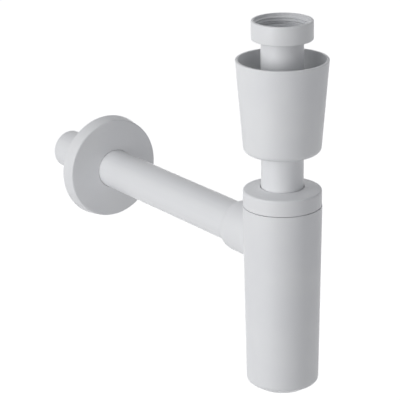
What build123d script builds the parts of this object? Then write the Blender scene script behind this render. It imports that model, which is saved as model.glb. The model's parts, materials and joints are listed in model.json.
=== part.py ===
"""Basin trap: a dip-tube bottle trap in white polypropylene, with a cover cup and a wall rosette.

Millimetres. The origin is the centre of the union nut's mouth, where the basin waste screws in.
Z points up, so every height is counted down from that mouth. Y points along the outlet to the wall.
"""

import math
import os

from build123d import *

os.makedirs("parts", exist_ok=True)

# Drain tubes and the clearances that pieces slide on them with
tube_radius = 16.0
tube_wall = 1.8
seal_fit = 0.05
sliding_fit = 0.08

# Union nut, with its thread root as a plain bore above a chamber for flange and washer
nut_wall = 2.1
nut_height = 14.2
nut_chamber_inset = 0.4
nut_floor = 2.4
nut_hole_clearance = 0.4
nut_rim_round = 1.1
nut_base_round = 0.6
nut_mouth_chamfer = 0.4

# Flange of the dip tube, small enough to pass the nut's thread, and the flat washer that lies on it
flange_width = 3.3
flange_thickness = 2.2
flange_clearance = 1.3
flange_chamfer = 0.4
washer_thickness = 1.8

# Room under the open end of the dip tube, down to the bottle's floor
dip_tube_floor_gap = 22.5

# Cover cup, a cone that hides the basin waste when it is pushed up
cup_rim_drop = 29.6
cup_height = 71.2
cup_rim_radius = 34.9
cup_base_radius = 29.0
cup_wall = 2.0
cup_edge_round = 5.0
cup_rim_round = 0.5
cup_hub_height = 9.0

# Grip ring, a round rubber ring in a groove of the cup's hub
grip_section_radius = 1.25
grip_groove_clearance = 0.05
grip_groove_side_gap = 0.15
grip_groove_wall = 1.78

# Clamp ring, which screws onto the neck of the bottle; its top rises a little to the hole
ring_drop = 129.8
ring_height = 12.4
ring_wall = 2.5
ring_web = 2.4
ring_crown = 1.8
ring_thread_clearance = 1.0
ring_hole_clearance = 0.6
ring_top_round = 1.5
ring_base_round = 0.3
ring_gap = 0.4

# Slip ring and cone gasket, which the clamp ring presses onto the neck
slip_ring_thickness = 1.1
slip_ring_clearance = 0.4
gasket_flange_thickness = 2.0
gasket_flange_inset = 0.6
gasket_cone_clearance = 0.15

# Bottle, the lower body of the trap
bottle_top_radius = 30.0
bottle_base_radius = 27.6
bottle_height = 146.3
bottle_wall = 2.4
bottle_shoulder_round = 0.3
foot_width = 8.7
foot_rise = 5.2
foot_round = 4.5
shoulder_width = 3.8
neck_wall = 2.3

# Cone seat for the gasket and the lip that guides the dip tube, both inside the neck
seat_rim_inset = 0.4
seat_depth = 5.0
seat_lip_height = 2.4
seat_lip_clearance = 1.4

# Branch socket on the bottle's side
branch_below_shoulder = 30.8
branch_length = 23.4
branch_wall = 4.0
branch_round_length = 5.3
branch_lip = 2.9
socket_clearance = 0.2
socket_depth = 24.4

# Lip seal in a groove of the branch socket
seal_groove_depth = 2.3
seal_groove_width = 6.0
seal_groove_inset = 8.8
seal_side_clearance = 0.1
seal_valley_depth = 0.9
seal_lip_gap = 1.2

# Outlet tube, from its stop in the socket to its spigot behind the wall rosette
outlet_reach = 301.0
outlet_stop_gap = 0.3
outlet_chamfer = 0.8

# Wall rosette, whose face rises a little from its edge to the outlet tube
rosette_back_reach = 242.7
rosette_depth = 11.0
rosette_crown = 2.3
rosette_face_radius = 41.5
rosette_back_radius = 43.1
rosette_wall = 2.0
rosette_hole_clearance = 0.3
rosette_edge_round = 1.4
rosette_hub_wall = 2.2
rosette_hub_length = 9.4
rosette_rib_count = 4
rosette_rib_thickness = 1.4
rosette_rib_depth = 4.0

# Radii, heights and reaches that several pieces share
bore_radius = tube_radius - tube_wall
flange_radius = tube_radius + flange_width
nut_chamber_radius = flange_radius + flange_clearance
nut_bore_radius = nut_chamber_radius + nut_chamber_inset
nut_radius = nut_bore_radius + nut_wall
nut_hole_radius = tube_radius + nut_hole_clearance
nut_floor_top = nut_floor - nut_height
flange_top = nut_floor_top + flange_thickness
washer_top = flange_top + washer_thickness
cup_rim = -cup_rim_drop
cup_base = cup_rim - cup_height
cup_floor_top = cup_base + cup_wall
cup_hub_top = cup_floor_top + cup_hub_height
grip_middle = (cup_base + cup_hub_top) / 2
grip_groove_radius = tube_radius + seal_fit + 2 * grip_section_radius + grip_groove_clearance
grip_groove_width = 2 * (grip_section_radius + grip_groove_side_gap)
cup_hub_radius = grip_groove_radius + grip_groove_wall
ring_top = -ring_drop
ring_hole_radius = tube_radius + ring_hole_clearance
ring_hole_rim = ring_top + ring_crown
ring_web_bottom = ring_top - ring_web
gasket_top = ring_web_bottom - slip_ring_thickness
neck_top = gasket_top - gasket_flange_thickness
shoulder = ring_top - ring_height - ring_gap
bottle_base = shoulder - bottle_height
bottle_floor = bottle_base + bottle_wall
foot_radius = bottle_base_radius - foot_width
dip_tube_end = bottle_floor + dip_tube_floor_gap
neck_radius = bottle_top_radius - shoulder_width
neck_bore_radius = neck_radius - neck_wall
ring_bore_radius = neck_radius + ring_thread_clearance
ring_radius = ring_bore_radius + ring_wall
gasket_flange_radius = neck_radius - gasket_flange_inset
seat_rim_radius = neck_bore_radius - seat_rim_inset
seat_bottom = neck_top - seat_depth
seat_lip_radius = tube_radius + seat_lip_clearance
outlet_height = shoulder - branch_below_shoulder
socket_radius = tube_radius + socket_clearance
branch_radius = socket_radius + branch_wall
branch_reach = bottle_top_radius + branch_length
socket_floor = branch_reach - socket_depth
seal_groove_radius = socket_radius + seal_groove_depth
seal_groove_front = branch_reach - seal_groove_inset
seal_groove_back = seal_groove_front - seal_groove_width
rosette_face_reach = rosette_back_reach - rosette_depth
rosette_inner_reach = rosette_face_reach + rosette_wall
rosette_crown_reach = rosette_face_reach - rosette_crown
rosette_hole_radius = tube_radius + rosette_hole_clearance
rosette_hub_radius = rosette_hole_radius + rosette_hub_wall

# The upright pieces are turned about Z, and those on the outlet about its own axis
upright_section = Plane.XZ
outlet_section = Plane(origin=(0, 0, outlet_height), x_dir=(0, 1, 0), z_dir=(1, 0, 0))
outlet_axis = Axis(origin=(0, 0, outlet_height), direction=(0, 1, 0))


def across_outlet(reach):
    """The plane square to the outlet's axis, this far from the bottle's axis and facing the wall."""
    return Plane(origin=(0, reach, outlet_height), x_dir=(1, 0, 0), z_dir=(0, 1, 0))


def section_along_outlet(turn):
    """The plane through the outlet's axis, turned about that axis by so many degrees."""
    square = (math.cos(math.radians(turn)), 0, math.sin(math.radians(turn)))
    return Plane(origin=(0, 0, outlet_height), x_dir=(0, 1, 0), z_dir=square)


def round_edges(builder, radius):
    """The round edges of a builder's part that have this radius."""
    circles = builder.edges().filter_by(GeomType.CIRCLE)
    return circles.filter_by(lambda edge: abs(edge.radius - radius) < 0.001)


# Union nut
with BuildPart() as inlet_nut:
    with BuildSketch(upright_section):
        with BuildLine():
            Polyline(
                (nut_hole_radius, -nut_height),
                (nut_radius, -nut_height),
                (nut_radius, 0),
                (nut_bore_radius, 0),
                (nut_bore_radius, washer_top),
                (nut_chamber_radius, washer_top),
                (nut_chamber_radius, nut_floor_top),
                (nut_hole_radius, nut_floor_top),
                close=True,
            )
        make_face()
    revolve(axis=Axis.Z)
    nut_rims = round_edges(inlet_nut, nut_radius).sort_by(Axis.Z)
    fillet(nut_rims[-1], radius=nut_rim_round)
    fillet(nut_rims[0], radius=nut_base_round)
    chamfer(round_edges(inlet_nut, nut_bore_radius).sort_by(Axis.Z)[-1], length=nut_mouth_chamfer)
inlet_nut.part.label = "inlet_nut"
export_step(inlet_nut.part, "parts/inlet_nut.step")


# Flat washer that seals the flange of the dip tube against the basin waste
with BuildPart() as inlet_washer:
    with BuildSketch(Plane.XY.offset(flange_top)):
        Circle(flange_radius)
        Circle(bore_radius, mode=Mode.SUBTRACT)
    extrude(amount=washer_thickness)
inlet_washer.part.label = "inlet_washer"
export_step(inlet_washer.part, "parts/inlet_washer.step")


# Dip tube with the flange that the nut lifts against the waste
with BuildPart() as inlet_tube:
    with BuildSketch(Plane.XY.offset(dip_tube_end)):
        Circle(tube_radius)
    extrude(amount=flange_top - dip_tube_end)
    with BuildSketch(Plane.XY.offset(nut_floor_top)):
        Circle(flange_radius)
    extrude(amount=flange_thickness)
    chamfer(round_edges(inlet_tube, flange_radius), length=flange_chamfer)
    with BuildSketch(Plane.XY.offset(dip_tube_end)):
        Circle(bore_radius)
    extrude(amount=flange_top - dip_tube_end, mode=Mode.SUBTRACT)
inlet_tube.part.label = "inlet_tube"
export_step(inlet_tube.part, "parts/inlet_tube.step")


# Cover cup: a shelled cone with a hub that slides on the dip tube
with BuildPart() as cover_cup:
    with BuildSketch(upright_section):
        with BuildLine():
            Polyline(
                (0, cup_base),
                (cup_base_radius, cup_base),
                (cup_rim_radius, cup_rim),
                (0, cup_rim),
                close=True,
            )
        make_face()
    revolve(axis=Axis.Z)
    fillet(round_edges(cover_cup, cup_base_radius), radius=cup_edge_round)
    offset(amount=-cup_wall, openings=cover_cup.faces().sort_by(Axis.Z)[-1])
    fillet(round_edges(cover_cup, cup_rim_radius), radius=cup_rim_round)
    with BuildSketch(Plane.XY.offset(cup_floor_top)):
        Circle(cup_hub_radius)
    extrude(amount=cup_hub_height)
    with BuildSketch(Plane.XY.offset(cup_base)):
        Circle(tube_radius + sliding_fit)
    extrude(amount=cup_wall + cup_hub_height, mode=Mode.SUBTRACT)
    with BuildSketch(Plane.XY.offset(grip_middle - grip_groove_width / 2)):
        Circle(grip_groove_radius)
    extrude(amount=grip_groove_width, mode=Mode.SUBTRACT)
cover_cup.part.label = "cover_cup"
export_step(cover_cup.part, "parts/cover_cup.step")


# Grip ring that holds the cup at the height where it is pushed
with BuildPart() as cup_grip_ring:
    with BuildSketch(upright_section):
        with Locations((tube_radius + seal_fit + grip_section_radius, grip_middle)):
            Circle(grip_section_radius)
    revolve(axis=Axis.Z)
cup_grip_ring.part.label = "cup_grip_ring"
export_step(cup_grip_ring.part, "parts/cup_grip_ring.step")


# Clamp ring: a skirt for the neck's thread under a crowned web with the hole for the dip tube
with BuildPart() as clamp_ring:
    with BuildSketch(upright_section):
        with BuildLine():
            Polyline(
                (0, ring_top - ring_height),
                (ring_radius, ring_top - ring_height),
                (ring_radius, ring_top),
                (ring_hole_radius, ring_hole_rim),
                (0, ring_hole_rim),
                close=True,
            )
        make_face()
    revolve(axis=Axis.Z)
    ring_rims = round_edges(clamp_ring, ring_radius).sort_by(Axis.Z)
    fillet(ring_rims[-1], radius=ring_top_round)
    fillet(ring_rims[0], radius=ring_base_round)
    with BuildSketch(Plane.XY.offset(ring_top - ring_height)):
        Circle(ring_bore_radius)
    extrude(amount=ring_height - ring_web, mode=Mode.SUBTRACT)
    with BuildSketch(Plane.XY.offset(ring_web_bottom)):
        Circle(ring_hole_radius)
    extrude(amount=ring_web + ring_crown, mode=Mode.SUBTRACT)
clamp_ring.part.label = "clamp_ring"
export_step(clamp_ring.part, "parts/clamp_ring.step")


# Slip ring, which lets the clamp ring turn without dragging the gasket round
with BuildPart() as slip_ring:
    with BuildSketch(Plane.XY.offset(gasket_top)):
        Circle(gasket_flange_radius)
        Circle(tube_radius + slip_ring_clearance, mode=Mode.SUBTRACT)
    extrude(amount=slip_ring_thickness)
slip_ring.part.label = "slip_ring"
export_step(slip_ring.part, "parts/slip_ring.step")


# Cone gasket between the dip tube and the seat in the neck
with BuildPart() as tube_gasket:
    with BuildSketch(upright_section):
        with BuildLine():
            Polyline(
                (tube_radius + seal_fit, gasket_top),
                (gasket_flange_radius, gasket_top),
                (gasket_flange_radius, neck_top),
                (seat_rim_radius - gasket_cone_clearance, neck_top),
                (seat_lip_radius - gasket_cone_clearance, seat_bottom),
                (tube_radius + seal_fit, seat_bottom),
                close=True,
            )
        make_face()
    revolve(axis=Axis.Z)
tube_gasket.part.label = "tube_gasket"
export_step(tube_gasket.part, "parts/tube_gasket.step")


# Bottle: a tapered body with neck and foot, hollowed out, with the branch socket on its side
with BuildPart() as bottle:
    with BuildSketch(upright_section):
        with BuildLine():
            Polyline(
                (0, bottle_base),
                (foot_radius, bottle_base),
                (bottle_base_radius, bottle_base + foot_rise),
                (bottle_top_radius, shoulder),
                (neck_radius, shoulder),
                (neck_radius, neck_top),
                (0, neck_top),
                close=True,
            )
        make_face()
    revolve(axis=Axis.Z)
    fillet(round_edges(bottle, bottle_base_radius), radius=foot_round)
    fillet(round_edges(bottle, bottle_top_radius), radius=bottle_shoulder_round)

    # The branch grows out of the wall and ends in a rounded nose
    with BuildSketch(outlet_section):
        with BuildLine():
            nose = EllipticalCenterArc(
                center=(branch_reach - branch_round_length, socket_radius + branch_lip),
                x_radius=branch_round_length,
                y_radius=branch_wall - branch_lip,
                start_angle=0,
                arc_size=90,
            )
            Polyline(nose @ 0, (branch_reach, 0), (0, 0), (0, branch_radius), nose @ 1)
        make_face()
    revolve(axis=outlet_axis)

    # The room inside follows the wall, and passes under the cone seat into the neck
    with BuildSketch(upright_section) as inside:
        with BuildLine():
            Polyline(
                (0, seat_bottom - seat_lip_height),
                (seat_lip_radius, seat_bottom - seat_lip_height),
                (neck_bore_radius, neck_top - seat_lip_height),
                (neck_bore_radius, shoulder - bottle_wall),
                (bottle_top_radius - bottle_wall, shoulder - bottle_wall),
                (bottle_base_radius - bottle_wall, bottle_floor + foot_rise),
                (foot_radius - bottle_wall, bottle_floor),
                (0, bottle_floor),
                close=True,
            )
        make_face()
        foot_corner = inside.vertices().group_by(Axis.Y)[1]
        fillet(foot_corner, radius=foot_round - bottle_wall)
    revolve(axis=Axis.Z, mode=Mode.SUBTRACT)

    # Cone seat and guide lip for the dip tube
    with BuildSketch(upright_section):
        with BuildLine():
            Polyline(
                (0, neck_top),
                (seat_rim_radius, neck_top),
                (seat_lip_radius, seat_bottom),
                (seat_lip_radius, seat_bottom - seat_lip_height),
                (0, seat_bottom - seat_lip_height),
                close=True,
            )
        make_face()
    revolve(axis=Axis.Z, mode=Mode.SUBTRACT)

    # Waterway, socket and seal groove through the branch
    with BuildSketch(outlet_section):
        with BuildLine():
            Polyline(
                (0, 0),
                (0, bore_radius),
                (socket_floor, bore_radius),
                (socket_floor, socket_radius),
                (seal_groove_back, socket_radius),
                (seal_groove_back, seal_groove_radius),
                (seal_groove_front, seal_groove_radius),
                (seal_groove_front, socket_radius),
                (branch_reach, socket_radius),
                (branch_reach, 0),
                close=True,
            )
        make_face()
    revolve(axis=outlet_axis, mode=Mode.SUBTRACT)
bottle.part.label = "bottle"
export_step(bottle.part, "parts/bottle.step")


# Lip seal with two lips that bear on the outlet tube
with BuildPart() as outlet_seal:
    seal_back_face = seal_groove_back + seal_side_clearance
    seal_front_face = seal_groove_front - seal_side_clearance
    seal_middle = (seal_back_face + seal_front_face) / 2
    with BuildSketch(outlet_section):
        with BuildLine():
            Polyline(
                (seal_back_face, seal_groove_radius - seal_side_clearance),
                (seal_front_face, seal_groove_radius - seal_side_clearance),
                (seal_front_face, tube_radius + seal_fit + seal_lip_gap),
                (seal_front_face - seal_lip_gap, tube_radius + seal_fit),
                (seal_middle, tube_radius + seal_fit + seal_valley_depth),
                (seal_back_face + seal_lip_gap, tube_radius + seal_fit),
                (seal_back_face, tube_radius + seal_fit + seal_lip_gap),
                close=True,
            )
        make_face()
    revolve(axis=outlet_axis)
outlet_seal.part.label = "outlet_seal"
export_step(outlet_seal.part, "parts/outlet_seal.step")


# Outlet tube
with BuildPart() as outlet_tube:
    with BuildSketch(across_outlet(socket_floor + outlet_stop_gap)):
        Circle(tube_radius)
        Circle(bore_radius, mode=Mode.SUBTRACT)
    extrude(amount=outlet_reach - socket_floor - outlet_stop_gap)
    chamfer(round_edges(outlet_tube, tube_radius).sort_by(Axis.Y)[-1], length=outlet_chamfer)
outlet_tube.part.label = "outlet_tube"
export_step(outlet_tube.part, "parts/outlet_tube.step")


# Wall rosette: a shelled cone, open towards the wall, with a ribbed hub that slides on the tube
with BuildPart() as wall_rosette:
    with BuildSketch(outlet_section):
        with BuildLine():
            Polyline(
                (rosette_crown_reach, 0),
                (rosette_back_reach, 0),
                (rosette_back_reach, rosette_back_radius),
                (rosette_face_reach, rosette_face_radius),
                (rosette_crown_reach, tube_radius),
                close=True,
            )
        make_face()
    revolve(axis=outlet_axis)
    fillet(round_edges(wall_rosette, rosette_face_radius), radius=rosette_edge_round)
    offset(amount=-rosette_wall, openings=wall_rosette.faces().sort_by(Axis.Y)[-1])
    with BuildSketch(across_outlet(rosette_crown_reach + rosette_wall / 2)):
        Circle(rosette_hub_radius)
    extrude(amount=rosette_crown + rosette_hub_length - rosette_wall / 2)

    # Ribs between the hub and the rim, sunk half way into the face
    rib_foot = rosette_hub_radius - rosette_hub_wall / 2
    rib_end = rosette_face_radius - rosette_wall / 2
    rib_back = rosette_inner_reach + rosette_rib_depth
    for rib in range(rosette_rib_count):
        with BuildSketch(section_along_outlet(45 + 360 / rosette_rib_count * rib)):
            with BuildLine():
                Polyline(
                    (rosette_crown_reach + rosette_wall / 2, rib_foot),
                    (rosette_face_reach + rosette_wall / 2, rib_end),
                    (rib_back, rib_end),
                    (rib_back, rib_foot),
                    close=True,
                )
            make_face()
        extrude(amount=rosette_rib_thickness / 2, both=True)
    with BuildSketch(across_outlet(rosette_crown_reach)):
        Circle(rosette_hole_radius)
    extrude(amount=rosette_crown + rosette_hub_length, mode=Mode.SUBTRACT)
wall_rosette.part.label = "wall_rosette"
export_step(wall_rosette.part, "parts/wall_rosette.step")
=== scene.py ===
import json
import math

import bpy
import numpy as np
from mathutils import Matrix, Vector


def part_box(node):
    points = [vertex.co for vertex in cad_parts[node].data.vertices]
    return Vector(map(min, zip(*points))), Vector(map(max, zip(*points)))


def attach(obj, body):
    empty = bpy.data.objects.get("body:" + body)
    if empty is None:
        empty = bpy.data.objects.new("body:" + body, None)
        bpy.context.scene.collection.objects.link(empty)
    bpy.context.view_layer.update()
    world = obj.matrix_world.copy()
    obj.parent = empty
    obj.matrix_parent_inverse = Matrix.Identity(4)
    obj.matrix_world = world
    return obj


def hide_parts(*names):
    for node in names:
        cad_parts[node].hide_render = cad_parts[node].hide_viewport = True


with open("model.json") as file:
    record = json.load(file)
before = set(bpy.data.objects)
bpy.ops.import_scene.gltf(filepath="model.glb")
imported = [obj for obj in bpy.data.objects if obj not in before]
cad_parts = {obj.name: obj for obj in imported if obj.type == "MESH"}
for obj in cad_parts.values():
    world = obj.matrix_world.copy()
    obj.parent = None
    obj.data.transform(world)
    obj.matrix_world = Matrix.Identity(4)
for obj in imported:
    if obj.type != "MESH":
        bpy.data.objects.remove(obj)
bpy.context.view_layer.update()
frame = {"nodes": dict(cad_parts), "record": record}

# The finish of the basin trap, its screw threads, and the studio that it is shown in. All lengths
# are metres in the part's own frame: the origin is the mouth of the union nut and Z points up.

MM = 0.001

# Camera of the photograph: its bearing, height and roll, what it aims at and how far off it is
CAMERA_AZIMUTH = math.radians(-35.435)
CAMERA_ELEVATION = math.radians(19.101)
CAMERA_ROLL = math.radians(-0.848)
CAMERA_DISTANCE = 1.5668
CAMERA_AIM = np.array([-0.0233, 0.0739, -0.1541])
CAMERA_LENS = 182.0
CAMERA_NEAR = 0.05
CAMERA_FAR = 60.0

# Studio: a floor well under the hanging trap, a room that is a little cool, and square lamps, each
# with its bearing and height in degrees and its power in watts
FLOOR_DROP = 1.9
FLOOR_SIZE = 24.0
FLOOR_GLOW = 0.75
ROOM_WHITE = (0.960, 0.967, 1.0, 1.0)
ROOM_LIGHT = 0.329
SOFT_BOX_SIZE = 1.2
SOFT_BOX_DISTANCE = 2.2
SOFT_BOXES = {
    "key_soft_box": (-100.0, 30.0, 9.9),
    "side_soft_box": (-80.0, 5.0, 20.5),
    "low_soft_box": (60.0, -30.0, 4.4),
    "back_soft_box": (145.0, -15.0, 4.0),
}

# Union nut: its inside steps, and how far the edges of its outline are rounded
NUT_CHAMBER_RADIUS = 20.6 * MM
NUT_CHAMBER_FLOOR = -11.8 * MM
NUT_HOLE_RADIUS = 16.4 * MM
NUT_HOLE_ROUND = 0.3 * MM
NUT_BASE_ROUND = 0.6 * MM
NUT_RIM_ROUND = 1.1 * MM
NUT_MOUTH_ROUND = 0.2 * MM
NUT_STEP_ROUND = 0.1 * MM
NUT_SEAT_ROUND = 0.15 * MM
NUT_FLOOR_ROUND = 0.4 * MM

# Thread of the nut, G 1 1/4 with blunt crests. Its start is a share of a turn, and the half width
# of the ridge at its foot and the width of each flank are shares of the pitch.
NUT_THREAD_PITCH = 2.309 * MM
NUT_THREAD_DEPTH = 1.25 * MM
NUT_THREAD_START = 0.52
NUT_THREAD_FOOT = 0.47
NUT_THREAD_FLANK = 0.44
NUT_THREAD_LEAD = 2.0 * MM
NUT_THREAD_RUNOUT = 0.9 * MM

# Screw between the neck of the bottle and the clamp ring. At each end the ridge sinks and narrows
# over a share of a turn, to a share of its width. Each ridge starts above the ring's lower edge.
NECK_RADIUS = 26.2 * MM
SKIRT_RADIUS = 27.2 * MM
SCREW_PITCH = 3.0 * MM
SCREW_DEPTH = 0.72 * MM
SCREW_HALF_WIDTH = 0.8 * MM
SCREW_ROOT_SINK = 0.35 * MM
SCREW_END_SINK = 0.1 * MM
SCREW_END_TURN = 0.2
SCREW_END_WIDTH = 0.25
NECK_THREAD_START = 0.3 * MM
NECK_THREAD_TURNS = 1.35
RING_THREAD_START = 1.8 * MM
RING_THREAD_TURNS = 1.5

# How finely the surfaces are divided
ROUND_STEPS = 6
NUT_BORE_ROWS = 76
NUT_COLUMNS = 288
SCREW_STEPS = 144


def linear_colour(hex_code):
    """An sRGB hex colour as linear red, green and blue with full alpha."""
    parts = [int(hex_code[i : i + 2], 16) / 255 for i in (1, 3, 5)]
    return [c / 12.92 if c <= 0.04045 else ((c + 0.055) / 1.055) ** 2.4 for c in parts] + [1.0]


def add_node(tree, kind, settings=None, links=None):
    """Adds a node. Settings are attributes or input values, and links are inputs with what feeds them."""
    node = tree.nodes.new(kind)
    for name, value in (settings or {}).items():
        if isinstance(name, str) and hasattr(node, name):
            setattr(node, name, value)
        else:
            node.inputs[name].default_value = value
    for name, socket in (links or {}).items():
        tree.links.new(socket, node.inputs[name])
    return node


def new_material(name):
    """A material with an empty node tree, to be filled in."""
    material = bpy.data.materials.new(name)
    material.use_nodes = True
    material.node_tree.nodes.clear()
    return material, material.node_tree


def mottled_colour(tree, place, wavelength, pale, deep):
    """Two near colours that drift into each other over a real distance."""
    drift = add_node(
        tree,
        "ShaderNodeTexNoise",
        {"Scale": 1 / wavelength, "Detail": 3.0, "Roughness": 0.5},
        {"Vector": place},
    )
    blend = add_node(tree, "ShaderNodeValToRGB", {}, {"Fac": drift.outputs["Fac"]})
    blend.color_ramp.elements[0].position = 0.35
    blend.color_ramp.elements[0].color = linear_colour(deep)
    blend.color_ramp.elements[1].position = 0.65
    blend.color_ramp.elements[1].color = linear_colour(pale)
    return blend.outputs["Color"]


def varied_roughness(tree, place, wavelength, low, high):
    """A roughness that wanders between two values over a real distance."""
    patches = add_node(
        tree, "ShaderNodeTexNoise", {"Scale": 1 / wavelength, "Detail": 4.0}, {"Vector": place}
    )
    spread = add_node(
        tree,
        "ShaderNodeMapRange",
        {"From Min": 0.3, "From Max": 0.7, "To Min": low, "To Max": high},
        {"Value": patches.outputs["Fac"]},
    )
    return spread.outputs["Result"]


# Materials

# White polypropylene lets light in about a millimetre deep
POLYPROPYLENE = {
    "IOR": 1.49,
    "Subsurface Weight": 0.12,
    "Subsurface Radius": (1.0, 1.0, 1.0),
    "Subsurface Scale": 1.2 * MM,
}


def moulded_polypropylene():
    """White polypropylene, injection-moulded in a spark-eroded tool.

    The eye gets a satin sheen, an even white that drifts a little with the flow of the melt, a
    grain like very fine leather, and walls that shrank a few hundredths between their edges.
    """
    material, tree = new_material("moulded_polypropylene")
    place = add_node(tree, "ShaderNodeTexCoord").outputs["Object"]
    # The melt's flow, patches 45 mm across
    colour = mottled_colour(tree, place, 45 * MM, "#E7E8E9", "#E3E4E6")
    rough = varied_roughness(tree, place, 12 * MM, 0.40, 0.50)
    # Shrinkage waves, 30 mm long
    sink = add_node(
        tree, "ShaderNodeTexNoise", {"Scale": 1 / (30 * MM), "Detail": 1.0}, {"Vector": place}
    )
    waves = add_node(
        tree,
        "ShaderNodeBump",
        {"Strength": 0.25, "Distance": 0.25 * MM},
        {"Height": sink.outputs["Fac"]},
    )
    # Grain of the tool: 0.12 mm on the real part, drawn at 0.5 mm so that it shows
    grain = add_node(
        tree, "ShaderNodeTexNoise", {"Scale": 1 / (0.5 * MM), "Detail": 5.0}, {"Vector": place}
    )
    relief = add_node(
        tree,
        "ShaderNodeBump",
        {"Strength": 0.22, "Distance": 0.04 * MM},
        {"Height": grain.outputs["Fac"], "Normal": waves.outputs["Normal"]},
    )
    shader = add_node(
        tree,
        "ShaderNodeBsdfPrincipled",
        POLYPROPYLENE,
        {"Base Color": colour, "Roughness": rough, "Normal": relief.outputs["Normal"]},
    )
    add_node(tree, "ShaderNodeOutputMaterial", {}, {"Surface": shader.outputs["BSDF"]})
    return material


def drawn_polypropylene(name, along):
    """White polypropylene tube, drawn through a sizing die along one axis.

    The eye gets a slightly brighter sheen than the mouldings have, with faint die lines that run
    the length of the tube and never round it.
    """
    material, tree = new_material(name)
    place = add_node(tree, "ShaderNodeTexCoord").outputs["Object"]
    # Patterns a hundred times longer than wide, drawn out along the tube
    stretch = [1.0, 1.0, 1.0]
    stretch["XYZ".index(along)] = 0.01
    lengthwise = add_node(
        tree, "ShaderNodeMapping", {"Scale": stretch}, {"Vector": place}
    ).outputs["Vector"]
    colour = mottled_colour(tree, lengthwise, 9 * MM, "#E8E9EA", "#E4E5E7")
    rough = varied_roughness(tree, lengthwise, 2 * MM, 0.34, 0.44)
    # Die lines, about 0.8 mm apart
    die = add_node(
        tree, "ShaderNodeTexNoise", {"Scale": 1 / (0.8 * MM), "Detail": 3.0}, {"Vector": lengthwise}
    )
    lines = add_node(
        tree,
        "ShaderNodeBump",
        {"Strength": 0.15, "Distance": 0.03 * MM},
        {"Height": die.outputs["Fac"]},
    )
    # Chatter of the haul-off, soft dents 18 mm long
    chatter = add_node(
        tree, "ShaderNodeTexNoise", {"Scale": 1 / (18 * MM), "Detail": 1.0}, {"Vector": place}
    )
    relief = add_node(
        tree,
        "ShaderNodeBump",
        {"Strength": 0.2, "Distance": 0.12 * MM},
        {"Height": chatter.outputs["Fac"], "Normal": lines.outputs["Normal"]},
    )
    shader = add_node(
        tree,
        "ShaderNodeBsdfPrincipled",
        POLYPROPYLENE,
        {"Base Color": colour, "Roughness": rough, "Normal": relief.outputs["Normal"]},
    )
    add_node(tree, "ShaderNodeOutputMaterial", {}, {"Surface": shader.outputs["BSDF"]})
    return material


def punched_polyethylene():
    """Soft white polyethylene sheet, punched into washers: waxy, with a faint grey and a dull face."""
    material, tree = new_material("punched_polyethylene")
    place = add_node(tree, "ShaderNodeTexCoord").outputs["Object"]
    # Clouding of the sheet, patches 8 mm across
    colour = mottled_colour(tree, place, 8 * MM, "#D9DADC", "#CFD1D4")
    rough = varied_roughness(tree, place, 3 * MM, 0.50, 0.62)
    # The calender's faint orange peel, 1 mm across
    peel = add_node(
        tree, "ShaderNodeTexNoise", {"Scale": 1 / MM, "Detail": 2.0}, {"Vector": place}
    )
    relief = add_node(
        tree,
        "ShaderNodeBump",
        {"Strength": 0.2, "Distance": 0.05 * MM},
        {"Height": peel.outputs["Fac"]},
    )
    shader = add_node(
        tree,
        "ShaderNodeBsdfPrincipled",
        {
            "IOR": 1.51,
            "Subsurface Weight": 0.2,
            "Subsurface Radius": (1.0, 1.0, 1.0),
            "Subsurface Scale": 1.5 * MM,
        },
        {"Base Color": colour, "Roughness": rough, "Normal": relief.outputs["Normal"]},
    )
    add_node(tree, "ShaderNodeOutputMaterial", {}, {"Surface": shader.outputs["BSDF"]})
    return material


def moulded_rubber():
    """Black EPDM rubber, press-moulded: matt, with a grey bloom in patches and a fine open grain."""
    material, tree = new_material("moulded_epdm_rubber")
    place = add_node(tree, "ShaderNodeTexCoord").outputs["Object"]
    # Bloom, patches 5 mm across
    colour = mottled_colour(tree, place, 5 * MM, "#37383B", "#292A2C")
    rough = varied_roughness(tree, place, 2 * MM, 0.62, 0.78)
    # Open grain, 0.4 mm across
    grain = add_node(
        tree, "ShaderNodeTexNoise", {"Scale": 1 / (0.4 * MM), "Detail": 4.0}, {"Vector": place}
    )
    relief = add_node(
        tree,
        "ShaderNodeBump",
        {"Strength": 0.35, "Distance": 0.05 * MM},
        {"Height": grain.outputs["Fac"]},
    )
    shader = add_node(
        tree,
        "ShaderNodeBsdfPrincipled",
        {"IOR": 1.52},
        {"Base Color": colour, "Roughness": rough, "Normal": relief.outputs["Normal"]},
    )
    add_node(tree, "ShaderNodeOutputMaterial", {}, {"Surface": shader.outputs["BSDF"]})
    return material


moulded_white = moulded_polypropylene()
upright_tube_white = drawn_polypropylene("drawn_polypropylene_dip_tube", "Z")
outlet_tube_white = drawn_polypropylene("drawn_polypropylene_outlet", "Y")
washer_white = punched_polyethylene()
seal_black = moulded_rubber()

FINISHES = {
    "cover_cup": moulded_white,
    "clamp_ring": moulded_white,
    "bottle": moulded_white,
    "wall_rosette": moulded_white,
    "inlet_nut": moulded_white,
    "slip_ring": moulded_white,
    "inlet_tube": upright_tube_white,
    "outlet_tube": outlet_tube_white,
    "inlet_washer": washer_white,
    "cup_grip_ring": seal_black,
    "tube_gasket": seal_black,
    "outlet_seal": seal_black,
}

for node, finish in FINISHES.items():
    for slot in frame["nodes"][node].material_slots:
        slot.material = finish


# Shapes


def smooth_step(share):
    """Three times the share squared less twice its cube: 0 to 1 with level ends."""
    return share * share * (3 - 2 * share)


def grid_faces(rows, columns, rows_close=False):
    """Corner numbers of a grid's faces. The columns close on themselves, and the rows may too."""
    row = np.arange(rows if rows_close else rows - 1)[:, None]
    below, above = row * columns, (row + 1) % rows * columns
    column = np.arange(columns)[None, :]
    ahead = (column + 1) % columns
    corners = [below + column, below + ahead, above + ahead, above + column]
    return np.stack(corners, -1).reshape(-1, 4)


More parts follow.
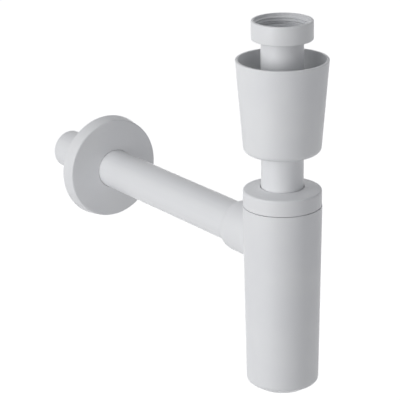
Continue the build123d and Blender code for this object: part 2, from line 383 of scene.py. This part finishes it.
def surface_piece(name, points, faces, finish, body):
    """Makes a smooth white mesh from an array of points and a list of faces, and puts it on a body."""
    mesh = bpy.data.meshes.new(name)
    mesh.from_pydata(points.reshape(-1, 3).tolist(), [], faces)
    mesh.polygons.foreach_set("use_smooth", np.ones(len(mesh.polygons), dtype=bool))
    mesh.materials.append(finish)
    mesh.update()
    piece = bpy.data.objects.new(name, mesh)
    bpy.context.scene.collection.objects.link(piece)
    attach(piece, body)
    return piece


def rounded_outline(corners):
    """A closed outline of radius and height, from corners given as radius, height and rounding.

    Each corner gives way to a parabola that leaves one side at the rounding's distance and
    reaches the next side at the same distance.
    """
    corners = np.array(corners)
    spots, reach = corners[:, :2], corners[:, 2:]
    to_last = np.roll(spots, 1, axis=0) - spots
    to_next = np.roll(spots, -1, axis=0) - spots
    to_last /= np.linalg.norm(to_last, axis=1, keepdims=True)
    to_next /= np.linalg.norm(to_next, axis=1, keepdims=True)
    t = np.linspace(0, 1, ROUND_STEPS)[None, :, None]
    leave = (spots + reach * to_last)[:, None]
    arrive = (spots + reach * to_next)[:, None]
    curve = (1 - t) ** 2 * leave + 2 * t * (1 - t) * spots[:, None] + t ** 2 * arrive
    return curve.reshape(-1, 2)


def threaded_nut():
    """The union nut as one closed skin that is turned about Z, with its thread inside.

    The outline is the solid's own. On the bore the radius is the root's radius less the depth
    times a ridge. The ridge is 1 where height over pitch equals the turn less its start, whole
    turns apart, and falls to 0 on both sides along a smooth step, so it climbs one pitch in a
    turn, right-handed. It grows below a plain lead at the mouth, and runs out above the chamber.
    """
    low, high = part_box("inlet_nut")
    thread = next(m for m in frame["record"]["mounts"] if m["name"] == "inlet_thread")
    root = thread["dims"]["r_mm"] * MM
    chamber_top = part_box("inlet_washer")[1][2]
    outline = rounded_outline(
        [
            (NUT_HOLE_RADIUS, low[2], NUT_HOLE_ROUND),
            (high[0], low[2], NUT_BASE_ROUND),
            (high[0], high[2], NUT_RIM_ROUND),
            (root, high[2], NUT_MOUTH_ROUND),
            (root, chamber_top, NUT_STEP_ROUND),
            (NUT_CHAMBER_RADIUS, chamber_top, NUT_SEAT_ROUND),
            (NUT_CHAMBER_RADIUS, NUT_CHAMBER_FLOOR, NUT_FLOOR_ROUND),
            (NUT_HOLE_RADIUS, NUT_CHAMBER_FLOOR, NUT_HOLE_ROUND),
        ]
    )
    # The long side of the bore lies between the curves of the fourth and fifth corners
    mouth_curve, bore_end = 3 * ROUND_STEPS, 4 * ROUND_STEPS
    bore = np.linspace(outline[bore_end - 1], outline[bore_end], NUT_BORE_ROWS)[1:-1]
    outline = np.vstack([outline[:bore_end], bore, outline[bore_end:]])
    threaded = slice(mouth_curve, bore_end + len(bore))

    turn = np.arange(NUT_COLUMNS)[None, :] / NUT_COLUMNS
    radius = np.repeat(outline[:, :1], NUT_COLUMNS, axis=1)
    height = np.repeat(outline[:, 1:], NUT_COLUMNS, axis=1)
    z = height[threaded]
    away = np.abs((z / NUT_THREAD_PITCH + NUT_THREAD_START - turn + 0.5) % 1.0 - 0.5)
    ridge = smooth_step(np.clip((NUT_THREAD_FOOT - away) / NUT_THREAD_FLANK, 0, 1))
    grown = np.clip((high[2] - NUT_THREAD_LEAD - z) / NUT_THREAD_RUNOUT, 0, 1)
    run_out = np.clip((z - chamber_top) / NUT_THREAD_RUNOUT, 0, 1)
    radius[threaded] -= NUT_THREAD_DEPTH * ridge * grown * run_out

    angle = 2 * math.pi * turn
    points = np.stack([radius * np.cos(angle), radius * np.sin(angle), height], -1)
    faces = grid_faces(len(outline), NUT_COLUMNS, rows_close=True)
    nut = surface_piece("threaded_nut", points, faces.tolist(), moulded_white, "nut")
    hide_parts("inlet_nut")


def screw_ridge(name, radius, start, turns, outwards, body):
    """A screw ridge carried along a right-hand helix, as one closed skin.

    The section is a rounded trapezium: it stands SCREW_DEPTH off the radius at its crest and is
    sunk SCREW_ROOT_SINK into the wall behind. The helix climbs one pitch in each turn. Over the
    first and last SCREW_END_TURN the crest falls to SCREW_END_SINK under the wall, and the width
    to SCREW_END_WIDTH of itself, both along a smooth step.
    """
    steps = int(turns * SCREW_STEPS) + 1
    turn = np.linspace(0.0, turns, steps)[:, None]
    # Section: along the height, and out of the wall, once round
    across = np.array([-1.0, -0.94, -0.72, -0.58, -0.40, 0.40, 0.58, 0.72, 0.94, 1.0, 1.0, -1.0])
    proud = np.array([0.0, 0.05, 0.62, 0.92, 1.0, 1.0, 0.92, 0.62, 0.05, 0.0, -1.0, -1.0])
    grown = smooth_step(np.clip(np.minimum(turn, turns - turn) / SCREW_END_TURN, 0.0, 1.0))
    root = np.where(proud < 0, -SCREW_ROOT_SINK, 0.0)
    lift = np.where(proud > 0, proud * SCREW_DEPTH * grown, root)
    lift = lift - (1 - grown) * SCREW_END_SINK * (proud >= 0)
    reach = radius + (lift if outwards else -lift)
    angle = 2 * math.pi * turn
    width = SCREW_END_WIDTH + (1 - SCREW_END_WIDTH) * grown
    z = start + SCREW_PITCH * turn + SCREW_HALF_WIDTH * across * width
    points = np.stack([reach * np.cos(angle), reach * np.sin(angle), z], -1)
    faces = grid_faces(steps, len(across))
    first = list(range(len(across)))
    last = [(steps - 1) * len(across) + i for i in first]
    if outwards:
        faces = faces[:, ::-1]
        ends = [first, last[::-1]]
    else:
        ends = [first[::-1], last]
    surface_piece(name, points, faces.tolist() + ends, moulded_white, body)


threaded_nut()

ring_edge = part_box("clamp_ring")[0][2]
screw_ridge(
    "neck_thread", NECK_RADIUS, ring_edge + NECK_THREAD_START, NECK_THREAD_TURNS, True, "bottle"
)
screw_ridge(
    "ring_thread", SKIRT_RADIUS, ring_edge + RING_THREAD_START, RING_THREAD_TURNS, False, "clamp_ring"
)


# Studio


def direction(azimuth, elevation):
    """Unit vector from the trap towards a viewer at this bearing and height."""
    return np.array(
        [
            math.sin(azimuth) * math.cos(elevation),
            -math.cos(azimuth) * math.cos(elevation),
            math.sin(elevation),
        ]
    )


def level_right(azimuth):
    """Unit vector to the right, level, of a viewer at this bearing."""
    return np.array([math.cos(azimuth), math.sin(azimuth), 0.0])


def standing_at(point, right, back):
    """A matrix at this point whose X is right and whose Z is back."""
    up = np.cross(back, right)
    rows = np.stack([right, up, back, point], axis=1)
    return Matrix(rows.tolist() + [[0, 0, 0, 1]])


def photo_camera():
    """The photograph's camera: level, then rolled about its own line of sight."""
    back = direction(CAMERA_AZIMUTH, CAMERA_ELEVATION)
    level = level_right(CAMERA_AZIMUTH)
    up = np.cross(back, level)
    right = level * math.cos(CAMERA_ROLL) + up * math.sin(CAMERA_ROLL)
    data = bpy.data.cameras.new("photo_camera")
    data.lens = CAMERA_LENS
    data.clip_start = CAMERA_NEAR
    data.clip_end = CAMERA_FAR
    camera = bpy.data.objects.new("photo_camera", data)
    bpy.context.scene.collection.objects.link(camera)
    camera.matrix_world = standing_at(CAMERA_AIM + CAMERA_DISTANCE * back, right, back)
    bpy.context.scene.camera = camera


def seen_directly(tree):
    """1 for what the camera sees, straight or in a reflection or through glass, and 0 for light."""
    path = add_node(tree, "ShaderNodeLightPath")
    gloss = add_node(
        tree,
        "ShaderNodeMath",
        {"operation": "ADD"},
        {0: path.outputs["Is Camera Ray"], 1: path.outputs["Is Glossy Ray"]},
    )
    every = add_node(
        tree,
        "ShaderNodeMath",
        {"operation": "ADD", "use_clamp": True},
        {0: gloss.outputs["Value"], 1: path.outputs["Is Transmission Ray"]},
    )
    return every.outputs["Value"]


def studio_floor():
    """A pale floor under the hanging trap: white to the camera where it is lit, and darker in shadow."""
    half = FLOOR_SIZE / 2
    corners = [(x * half, y * half, -FLOOR_DROP) for x, y in ((-1, -1), (1, -1), (1, 1), (-1, 1))]
    mesh = bpy.data.meshes.new("floor")
    mesh.from_pydata(corners, [], [(0, 1, 2, 3)])
    material, tree = new_material("painted_studio_floor")
    paint = add_node(tree, "ShaderNodeBsdfDiffuse", {"Color": linear_colour("#F2F2F2")})
    glow = add_node(tree, "ShaderNodeEmission", {"Strength": FLOOR_GLOW})
    both = add_node(
        tree, "ShaderNodeAddShader", {}, {0: paint.outputs["BSDF"], 1: glow.outputs["Emission"]}
    )
    mixed = add_node(
        tree,
        "ShaderNodeMixShader",
        {},
        {0: seen_directly(tree), 1: paint.outputs["BSDF"], 2: both.outputs["Shader"]},
    )
    add_node(tree, "ShaderNodeOutputMaterial", {}, {"Surface": mixed.outputs["Shader"]})
    mesh.materials.append(material)
    floor = bpy.data.objects.new("floor", mesh)
    bpy.context.scene.collection.objects.link(floor)


def studio_room():
    """White walls all round, which light the trap evenly and a little coolly."""
    world = bpy.data.worlds.new("studio_room")
    bpy.context.scene.world = world
    world.use_nodes = True
    tree = world.node_tree
    tree.nodes.clear()
    shown = add_node(tree, "ShaderNodeBackground", {"Color": (1, 1, 1, 1), "Strength": 1.0})
    light = add_node(tree, "ShaderNodeBackground", {"Color": ROOM_WHITE, "Strength": ROOM_LIGHT})
    mixed = add_node(
        tree,
        "ShaderNodeMixShader",
        {},
        {
            0: seen_directly(tree),
            1: light.outputs["Background"],
            2: shown.outputs["Background"],
        },
    )
    add_node(tree, "ShaderNodeOutputWorld", {}, {"Surface": mixed.outputs["Shader"]})


def soft_box(name, bearing, height, power):
    """A square lamp behind a diffuser, aimed at the middle of the trap from a bearing and a height."""
    lamp = bpy.data.lights.new(name, "AREA")
    lamp.shape = "SQUARE"
    lamp.size = SOFT_BOX_SIZE
    lamp.energy = power
    azimuth = math.radians(bearing)
    back = direction(azimuth, math.radians(height))
    stand = bpy.data.objects.new(name, lamp)
    bpy.context.scene.collection.objects.link(stand)
    stand.matrix_world = standing_at(
        CAMERA_AIM + SOFT_BOX_DISTANCE * back, level_right(azimuth), back
    )


photo_camera()
studio_floor()
studio_room()
for name, (bearing, height, power) in SOFT_BOXES.items():
    soft_box(name, bearing, height, power)
bpy.context.scene.view_settings.view_transform = "Standard"
